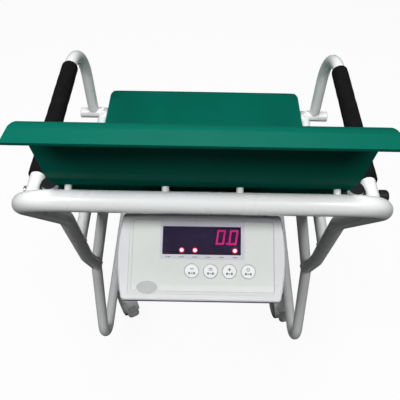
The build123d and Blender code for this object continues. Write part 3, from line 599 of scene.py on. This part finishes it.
X_WAY = Vector((1, 0, 0))
Y_WAY = Vector((0, 1, 0))
beads = bmesh.new()
rail_way = (RAIL_FRONT - RAIL_REAR).normalized()
seat_rail_line = (RAIL_REAR, rail_way, TUBE_RADIUS)
base_line = (Vector((BASE_X, 0, BASE_Z)), Y_WAY, TUBE_RADIUS)
hoop_line = (HOOP_LOW, HOOP_BEND - HOOP_LOW, HOOP_RADIUS)
meetings = []
for y in SEAT_CROSS_YS:
    meetings.append(meeting_line(Vector((0, y, SEAT_RAIL_Z)), X_WAY, TUBE_RADIUS, *seat_rail_line))
for y in BASE_CROSS_YS:
    meetings.append(meeting_line(Vector((0, y, BASE_Z)), X_WAY, TUBE_RADIUS, *base_line))
stub_start = Vector((SIDE_X + STUB_REACH, ARM_POST_Y, SEAT_RAIL_Z))
meetings.append(meeting_line(stub_start, -X_WAY, TUBE_RADIUS, *seat_rail_line))
meetings.append(meeting_line(RAIL_FRONT, -rail_way, TUBE_RADIUS, *hoop_line))
strut_way = JUNCTION - STRUT_TOP
cross_line = (Vector((0, STRUT_TOP.y, SEAT_RAIL_Z)), X_WAY, TUBE_RADIUS)
meetings.append(meeting_line(JUNCTION, -strut_way, TUBE_RADIUS, *cross_line))
hoop_foot = (JUNCTION, HOOP_LOW - JUNCTION, HOOP_RADIUS)
meetings.append(meeting_line(STRUT_TOP, strut_way, TUBE_RADIUS, *hoop_foot))
for line in meetings:
    for side_line in on_both_sides(line):
        bead(beads, side_line)
new_piece("weld_beads", smooth_mesh("weld_beads", beads), "frame", "white_paint")


# Foam grips, each a sleeve turned from its profile, with rounded ends and a slightly uneven skin
def grip_profile(length, inner, outer):
    """Places along the grip with their radii, from the bore at its rear end to the bore at its front end."""
    rear_edge = []
    for k in range(GRIP_EDGE_STEPS, -1, -1):
        turn = math.pi / 2 * k / GRIP_EDGE_STEPS
        rear_edge.append((GRIP_EDGE * (1 - math.sin(turn)), outer - GRIP_EDGE * (1 - math.cos(turn))))
    middle_length = length - 2 * GRIP_EDGE
    middle = [(GRIP_EDGE + middle_length * k / GRIP_STEPS, outer) for k in range(1, GRIP_STEPS)]
    front_edge = [(length - y, radius) for y, radius in reversed(rear_edge)]
    end_radius = outer - GRIP_EDGE - GRIP_END_STEP
    rear_end = [(0.0, inner), (0.0, end_radius)]
    front_end = [(length, end_radius), (length, inner)]
    return rear_end + rear_edge + middle + front_edge + front_end


def skin_depth(y, turn):
    """How far the skin lies below the profile."""
    around = math.sin(turn * GRIP_WAVE_TURNS + y * GRIP_WAVE_TWIST)
    wave = GRIP_WAVE_DEPTH * around * math.sin(y * GRIP_WAVE_ALONG + turn)
    sway = GRIP_RING_SWAY * math.sin(turn)
    rings = GRIP_RING_DEPTH * (0.5 + 0.5 * math.sin(y * GRIP_RING_ALONG + sway))
    return max(rings - wave, 0.0)


def foam_grip(side_name, body):
    node = f"{side_name}_arm_grip"
    low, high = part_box(node)
    centre_x, centre_z = (low.x + high.x) / 2, (low.z + high.z) / 2
    inner = TUBE_RADIUS + GRIP_CLEARANCE
    shape = bmesh.new()
    rings = []
    for y, radius in grip_profile(high.y - low.y, inner, (high.x - low.x) / 2):
        ring = []
        for k in range(GRIP_SIDES):
            turn = 2 * math.pi * k / GRIP_SIDES
            r = radius
            if radius > inner + GRIP_SKIN:
                r -= skin_depth(y, turn)
            place = (centre_x + r * math.cos(turn), low.y + y, centre_z + r * math.sin(turn))
            ring.append(shape.verts.new(place))
        rings.append(ring)
    for i, first in enumerate(rings):
        second = rings[(i + 1) % len(rings)]
        for k in range(GRIP_SIDES):
            after = (k + 1) % GRIP_SIDES
            shape.faces.new((first[k], first[after], second[after], second[k]))
    bmesh.ops.recalc_face_normals(shape, faces=shape.faces)
    name = f"{side_name}_foam_grip"
    grip = new_piece(name, smooth_mesh(name, shape), body, "foam_black")
    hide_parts(node)


foam_grip("left", "left_armrest")
foam_grip("right", "right_armrest")


# Indicator face: surround, printed marks, key rings, display mask and the glow of the lit lamps
def oval_loop(width, height, steps=48):
    points = []
    for k in range(steps):
        turn = 2 * math.pi * k / steps
        points.append((width / 2 * math.cos(turn), height / 2 * math.sin(turn)))
    return points


def box_loop(width, height, corner, steps=8):
    points = []
    for side_x, side_y, begin in ((1, 1, 0), (-1, 1, 90), (-1, -1, 180), (1, -1, 270)):
        for k in range(steps + 1):
            turn = math.radians(begin + 90 * k / steps)
            points.append((
                side_x * (width / 2 - corner) + corner * math.cos(turn),
                side_y * (height / 2 - corner) + corner * math.sin(turn),
            ))
    return points


def bar_loop(width, height):
    return box_loop(width, height, MARK_CORNER, MARK_CORNER_STEPS)


def face_plate(shape, centre, outline, layer, hole=None, rim=PRINT_RIM):
    """A thin plate on the face, with a softened upper rim and, if given, a hole."""
    low, high = layer

    def ring_at(points, inset, height):
        made = []
        for x, y in points:
            length = math.hypot(x, y) or 1.0
            share = (length - inset) / length
            place = Vector((centre[0] + x * share, centre[1] + y * share, height))
            made.append(shape.verts.new(face_matrix @ place))
        return made

    def join(first, second):
        count = len(first)
        for k in range(count):
            shape.faces.new((first[k], first[(k + 1) % count], second[(k + 1) % count], second[k]))

    outer_low = ring_at(outline, 0.0, low)
    outer_mid = ring_at(outline, 0.0, high - rim)
    outer_top = ring_at(outline, rim, high)
    join(outer_low, outer_mid)
    join(outer_mid, outer_top)
    if hole:
        inner_top = ring_at(hole, -rim, high)
        inner_mid = ring_at(hole, 0.0, high - rim)
        inner_low = ring_at(hole, 0.0, low)
        join(outer_top, inner_top)
        join(inner_top, inner_mid)
        join(inner_mid, inner_low)
        join(inner_low, outer_low)
    else:
        shape.faces.new(outer_top)
        shape.faces.new(list(reversed(outer_low)))


def face_piece(name, plates, body, slot, surface):
    shape = bmesh.new()
    for plate in plates:
        face_plate(shape, **plate)
    bmesh.ops.recalc_face_normals(shape, faces=shape.faces)
    mesh = bpy.data.meshes.new(name)
    shape.to_mesh(mesh)
    shape.free()
    return new_piece(name, mesh, body, slot, surface)


window_hole = [
    (x + WINDOW_CENTRE[0] - SURROUND_CENTRE[0], y + WINDOW_CENTRE[1] - SURROUND_CENTRE[1])
    for x, y in box_loop(*WINDOW_SIZE, WINDOW_CORNER)
]
face_piece("window_surround", [{
    "centre": SURROUND_CENTRE,
    "outline": box_loop(*SURROUND_SIZE, WINDOW_CORNER),
    "hole": window_hole,
    "layer": SURROUND_LAYER,
    "rim": PLATE_RIM,
}], "frame", "panel_grey", surround_grey)
face_piece("display_mask", [{
    "centre": WINDOW_CENTRE,
    "outline": box_loop(*[size + MASK_MARGIN for size in WINDOW_SIZE], MASK_CORNER),
    "layer": MASK_LAYER,
    "rim": PLATE_RIM,
}], "frame", "panel_grey", mask_dark)

key_rings = []
for place in KEY_PLACES:
    outer = 2 * KEY_RADIUS + KEY_RING_OUTER
    inner = 2 * KEY_RADIUS + KEY_RING_GAP
    key_rings.append({
        "centre": place,
        "outline": oval_loop(outer, outer),
        "hole": oval_loop(inner, inner),
        "layer": KEY_RING_LAYER,
    })
face_piece("key_rings", key_rings, "frame", "panel_grey", print_line)

face_piece("print_band", [{
    "centre": BAND_CENTRE,
    "outline": box_loop(*BAND_SIZE, BAND_CORNER),
    "layer": BAND_LAYER,
}], "frame", "panel_grey", print_pale)
face_piece("panel_line", [{
    "centre": LINE_CENTRE,
    "outline": box_loop(*LINE_SIZE, LINE_CORNER),
    "hole": box_loop(*[size - 2 * LINE_WIDTH for size in LINE_SIZE], LINE_CORNER - LINE_WIDTH),
    "layer": LINE_LAYER,
}], "frame", "panel_grey", print_line)
face_piece("oval_badge", [{
    "centre": BADGE_CENTRE,
    "outline": oval_loop(*BADGE_SIZE),
    "layer": BADGE_LAYER,
    "rim": PLATE_RIM,
}], "frame", "panel_grey", badge_grey)
face_piece("badge_ring", [{
    "centre": BADGE_CENTRE,
    "outline": oval_loop(*BADGE_RING_SIZE),
    "hole": oval_loop(*[size + BADGE_RING_GAP for size in BADGE_SIZE]),
    "layer": BADGE_RING_LAYER,
    "rim": PLATE_RIM,
}], "frame", "panel_grey", print_pale)

# Short plain bars under the lamps
lamp_marks = []
for x, v in LAMP_PLACES:
    for step, width in LAMP_MARKS:
        lamp_marks.append({
            "centre": (x + step, LAMP_MARK_UP),
            "outline": bar_loop(width, LAMP_MARK_HEIGHT),
            "layer": LAMP_MARK_LAYER,
        })
face_piece("lamp_marks", lamp_marks, "frame", "panel_grey", print_grey)

# Plain marks on the keys, a sign above a short row of bars
for index, ((x, v), sign) in enumerate(zip(KEY_PLACES, KEY_SIGNS)):
    plates = []
    for kind, across, up, width, height in sign + KEY_ROW:
        plate = {"centre": (x + across, v + up), "layer": KEY_MARK_LAYER}
        if kind == "ring":
            plate["outline"] = oval_loop(width, width)
            plate["hole"] = oval_loop(height, height)
        else:
            plate["outline"] = bar_loop(width, height)
        plates.append(plate)
    face_piece(f"key_{index + 1}_mark", plates, f"key_{index + 1}", "key_white", print_grey)

# A red glow with a bright core in each lit lamp
for index in LIT_LAMPS:
    for part, diameter, layer, surface in (
        ("glow", GLOW_DIAMETER, GLOW_LAYER, lamp_glow),
        ("core", CORE_DIAMETER, CORE_LAYER, lamp_core),
    ):
        face_piece(f"lamp_{index + 1}_{part}", [{
            "centre": LAMP_PLACES[index],
            "outline": oval_loop(diameter, diameter),
            "layer": layer,
            "rim": PLATE_RIM,
        }], "frame", "lamp_red", surface)


# Floor, light and camera
def seen_rays(tree):
    """Rays of the camera, and the same with rays through clear pieces."""
    paths = tree.nodes.new("ShaderNodeLightPath")
    seen = tree.nodes.new("ShaderNodeMath")
    seen.operation = "MAXIMUM"
    link(tree, paths.outputs["Is Camera Ray"], seen.inputs[0])
    link(tree, paths.outputs["Is Transmission Ray"], seen.inputs[1])
    return paths.outputs["Is Camera Ray"], seen.outputs["Value"]


def floor_material():
    made = bpy.data.materials.new("floor")
    made.use_nodes = True
    tree = made.node_tree
    tree.nodes.clear()
    output = tree.nodes.new("ShaderNodeOutputMaterial")
    camera_ray, seen = seen_rays(tree)
    matte = tree.nodes.new("ShaderNodeBsdfDiffuse")
    tone = blend_colour(tree, camera_ray, (FLOOR_TONE_UNSEEN,) * 3, (FLOOR_TONE_SEEN,) * 3)
    link(tree, tone, matte.inputs["Color"])
    plain = tree.nodes.new("ShaderNodeEmission")
    plain.inputs["Color"].default_value = (1, 1, 1, 1)
    share = multiply(tree, seen, FLOOR_PLAIN_SHARE)
    mixed = tree.nodes.new("ShaderNodeMixShader")
    link(tree, share, mixed.inputs["Fac"])
    link(tree, matte.outputs["BSDF"], mixed.inputs[1])
    link(tree, plain.outputs["Emission"], mixed.inputs[2])
    link(tree, mixed.outputs["Shader"], output.inputs["Surface"])
    return made


floor_mesh = bpy.data.meshes.new("floor")
floor_corners = [(x * FLOOR_REACH, y * FLOOR_REACH, 0) for x, y in ((-1, -1), (1, -1), (1, 1), (-1, 1))]
floor_mesh.from_pydata(floor_corners, [], [(0, 1, 2, 3)])
floor = bpy.data.objects.new("floor", floor_mesh)
bpy.context.scene.collection.objects.link(floor)
floor.data.materials.append(floor_material())

world = bpy.data.worlds.new("studio")
world.use_nodes = True
bpy.context.scene.world = world
world_tree = world.node_tree
background = world_tree.nodes["Background"]
world_seen = seen_rays(world_tree)[1]
world_level = spread(world_tree, world_seen, 0.0, 1.0, WORLD_UNSEEN, WORLD_SEEN)
link(world_tree, world_level, background.inputs["Strength"])
background.inputs["Color"].default_value = (1, 1, 1, 1)


def area_light(name, place, target, size, power):
    data = bpy.data.lights.new(name, "AREA")
    data.shape = "DISK"
    data.size = size
    data.energy = power
    obj = bpy.data.objects.new(name, data)
    obj.location = place
    obj.rotation_mode = "QUATERNION"
    obj.rotation_quaternion = (Vector(target) - Vector(place)).to_track_quat("-Z", "Y")
    bpy.context.scene.collection.objects.link(obj)


for name, (place, target, size, power) in LIGHTS.items():
    area_light(name, place, target, size, power)

camera_data = bpy.data.cameras.new("camera")
camera_data.lens = CAMERA_LENS
camera_data.sensor_width = CAMERA_SENSOR
camera_data.shift_x = CAMERA_SHIFT_X
camera = bpy.data.objects.new("camera", camera_data)
camera.matrix_world = (
    Matrix.Translation(CAMERA_PLACE)
    @ Matrix.Rotation(math.pi / 2 - CAMERA_PITCH, 4, "X")
    @ Matrix.Rotation(CAMERA_ROLL, 4, "Z")
)
bpy.context.scene.collection.objects.link(camera)
bpy.context.scene.camera = camera
bpy.context.scene.view_settings.view_transform = "Standard"
